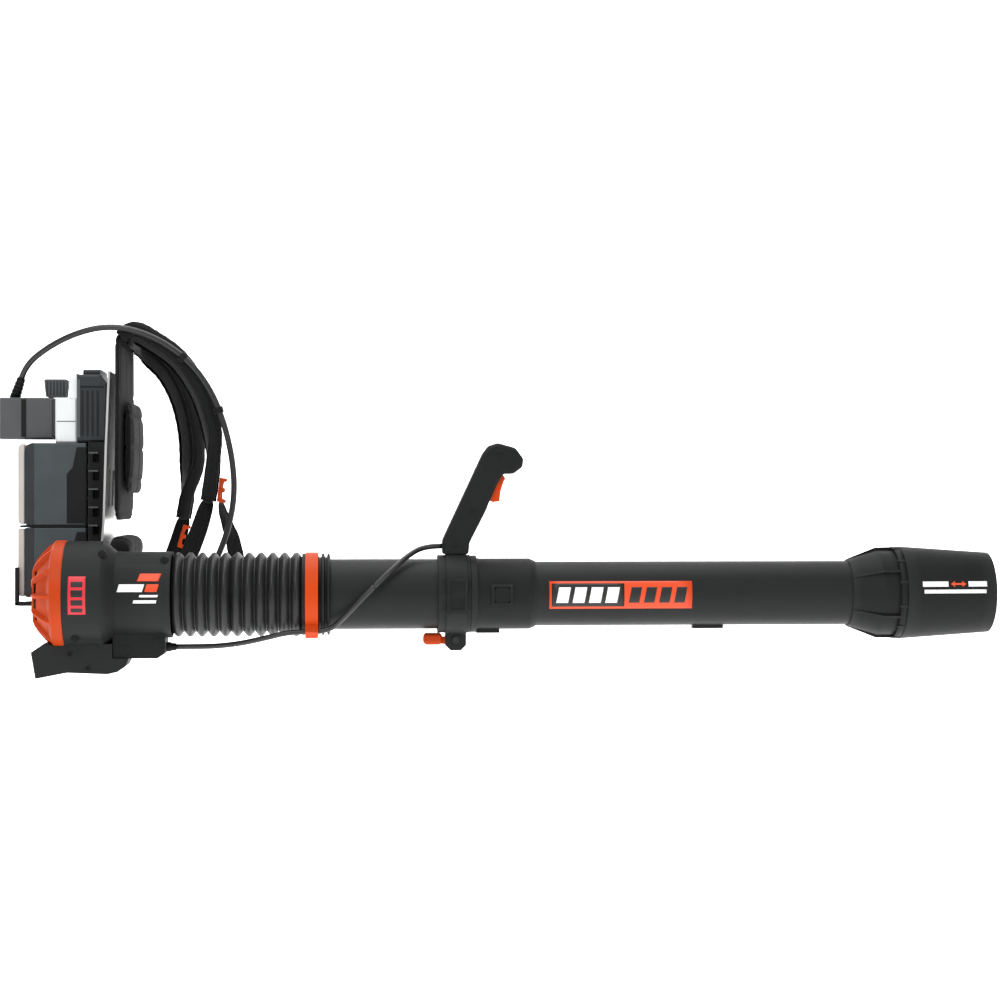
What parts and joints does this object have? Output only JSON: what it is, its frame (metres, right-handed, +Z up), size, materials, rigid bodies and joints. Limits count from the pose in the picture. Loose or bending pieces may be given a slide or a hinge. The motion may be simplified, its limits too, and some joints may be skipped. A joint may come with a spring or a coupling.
{
  "type": "backpack leaf blower",
  "caption": "Battery backpack leaf blower: padded harness with slide-on packs, motor housing, corrugated hose, wand with pistol handle and sliding nozzle.",
  "frame": {"origin": "middle of the plane that the wearer's back touches, on the harness's centre line", "axes": "+X is the way the wearer faces and the air blows, +Y is the wearer's left, +Z is up"},
  "size_m": [1.3663, 0.42, 0.4835],
  "materials": {
    "casing": "moulded, fine texture",
    "orange": "moulded, satin",
    "hose": "extruded, satin",
    "tube": "blow moulded, satin",
    "internal": "machined",
    "steel": "plated",
    "board": "laminate",
    "cord": "extruded jacket",
    "frame": "bent sheet",
    "pack_case": "moulded",
    "terminal": "moulded, pale grey",
    "battery": "moulded, satin",
    "plug": "moulded",
    "fabric": "padded mesh",
    "webbing": "woven"
  },
  "bodies": {
    "pack": {"back_frame": "frame", "battery_dock": "pack_case", "electronics_unit": "pack_case", "terminal_block": "terminal", "power_cord": "cord", "cord_ties": "cord", "side_dock": "casing", "back_panel": "fabric", "lumbar_pad": "fabric", "hip_belt": "fabric", "strap_right": "fabric", "strap_left": "fabric", "webbing": "webbing", "strap_hardware": "orange", "motor_housing_right": "casing", "motor_housing_left": "casing", "housing_screws": "steel", "intake_grille": "orange", "motor_stator": "internal", "motor_bearings": "steel", "stator_vanes": "casing", "control_box_right": "casing", "control_box_left": "casing", "controller_board": "board", "cable_glands": "casing"},
    "fan": {"fan_rotor": "casing", "motor_shaft": "steel"},
    "hose": {"flex_hose_rear": "hose", "flex_hose_front": "hose", "control_cable_rear": "cord"},
    "wand": {"hose_clamp_ring": "orange", "hose_cuff": "hose", "rear_tube": "tube", "tube_coupler": "casing"},
    "button": {"lock_button": "casing"},
    "front_wand": {"front_tube": "tube", "nozzle_hub": "casing"},
    "sleeve": {"nozzle_sleeve": "casing"},
    "liner": {"clamp_liner": "casing"},
    "handle": {"clamp_upper": "casing", "clamp_lower": "casing", "cam_pin": "steel", "handle_right": "casing", "handle_left": "casing", "handle_screws": "steel", "trigger_switch": "board", "control_cable_front": "cord"},
    "lever": {"cam_lever": "orange"},
    "squeeze": {"trigger": "orange"},
    "plug": {"plug_body": "plug", "strain_relief": "cord"},
    "plug_knob": {"plug_latch": "plug"},
    "battery_1": {"battery_1": "battery"},
    "latch_1": {"battery_latch_1": "orange"},
    "battery_2": {"battery_2": "battery"},
    "latch_2": {"battery_latch_2": "orange"},
    "battery_3": {"battery_3": "battery"},
    "latch_3": {"battery_latch_3": "orange"},
    "battery_4": {"battery_4": "battery"},
    "latch_4": {"battery_latch_4": "orange"}
  },
  "joints": [
    {"name": "fan_spin", "type": "hinge", "parent": "pack", "child": "fan", "pos_m": [0, -0.23, -0.229], "axis": [1, 0, 0], "continuous": true},
    {"name": "hose_yaw", "type": "hinge", "parent": "pack", "child": "hose", "pos_m": [0.1136, -0.23, -0.229], "axis": [0, 0, 1], "range_deg": [-20, 20], "deforming": ["flex_hose_rear", "control_cable_rear"]},
    {"name": "hose_pitch", "type": "hinge", "parent": "hose", "child": "wand", "pos_m": [0.2001, -0.23, -0.229], "axis": [0, 1, 0], "range_deg": [-20, 20], "deforming": ["flex_hose_front", "control_cable_rear"]},
    {"name": "button_press", "type": "slide", "parent": "wand", "child": "button", "axis": [0, 1, 0], "range_m": [0, 0.0025], "stiffness_N_per_m": 600, "springref_m": -0.002},
    {"name": "front_tube_pull", "type": "slide", "parent": "wand", "child": "front_wand", "axis": [1, 0, 0], "range_m": [0, 0.07]},
    {"name": "sleeve_shift", "type": "slide", "parent": "front_wand", "child": "sleeve", "axis": [1, 0, 0], "range_m": [0, 0.018]},
    {"name": "handle_slide", "type": "slide", "parent": "wand", "child": "liner", "axis": [1, 0, 0], "range_m": [-0.08, 0], "deforming": ["control_cable_front"]},
    {"name": "handle_turn", "type": "hinge", "parent": "liner", "child": "handle", "pos_m": [0.45403, -0.23, -0.229], "axis": [1, 0, 0], "range_deg": [-25, 25], "deforming": ["control_cable_front"]},
    {"name": "cam_swing", "type": "hinge", "parent": "handle", "child": "lever", "pos_m": [0.45403, -0.23, -0.2915], "axis": [0, 1, 0], "range_deg": [-110, 0]},
    {"name": "trigger_squeeze", "type": "hinge", "parent": "handle", "child": "squeeze", "pos_m": [0.51003, -0.23, -0.0635], "axis": [0, 1, 0], "range_deg": [0, 8], "stiffness_Nm_per_rad": 0.5, "springref_deg": -8.59},
    {"name": "plug_pull", "type": "slide", "parent": "pack", "child": "plug", "axis": [-1, 0, 0], "range_m": [0, 0.03], "deforming": ["power_cord"]},
    {"name": "plug_release", "type": "slide", "parent": "plug", "child": "plug_knob", "axis": [0, 0, 1], "range_m": [0, 0.005], "stiffness_N_per_m": 500, "springref_m": -0.002},
    {"name": "battery_slide_1", "type": "slide", "parent": "pack", "child": "battery_1", "axis": [-1, 0, 0], "range_m": [0, 0.07]},
    {"name": "latch_press_1", "type": "slide", "parent": "battery_1", "child": "latch_1", "axis": [1, 0, 0], "range_m": [0, 0.004], "stiffness_N_per_m": 500, "springref_m": -0.002},
    {"name": "battery_slide_2", "type": "slide", "parent": "pack", "child": "battery_2", "axis": [-1, 0, 0], "range_m": [0, 0.07]},
    {"name": "latch_press_2", "type": "slide", "parent": "battery_2", "child": "latch_2", "axis": [1, 0, 0], "range_m": [0, 0.004], "stiffness_N_per_m": 500, "springref_m": -0.002},
    {"name": "battery_slide_3", "type": "slide", "parent": "pack", "child": "battery_3", "axis": [-1, 0, 0], "range_m": [0, 0.07]},
    {"name": "latch_press_3", "type": "slide", "parent": "battery_3", "child": "latch_3", "axis": [1, 0, 0], "range_m": [0, 0.004], "stiffness_N_per_m": 500, "springref_m": -0.002},
    {"name": "battery_slide_4", "type": "slide", "parent": "pack", "child": "battery_4", "axis": [-1, 0, 0], "range_m": [0, 0.07]},
    {"name": "latch_press_4", "type": "slide", "parent": "battery_4", "child": "latch_4", "axis": [1, 0, 0], "range_m": [0, 0.004], "stiffness_N_per_m": 500, "springref_m": -0.002}
  ]
}
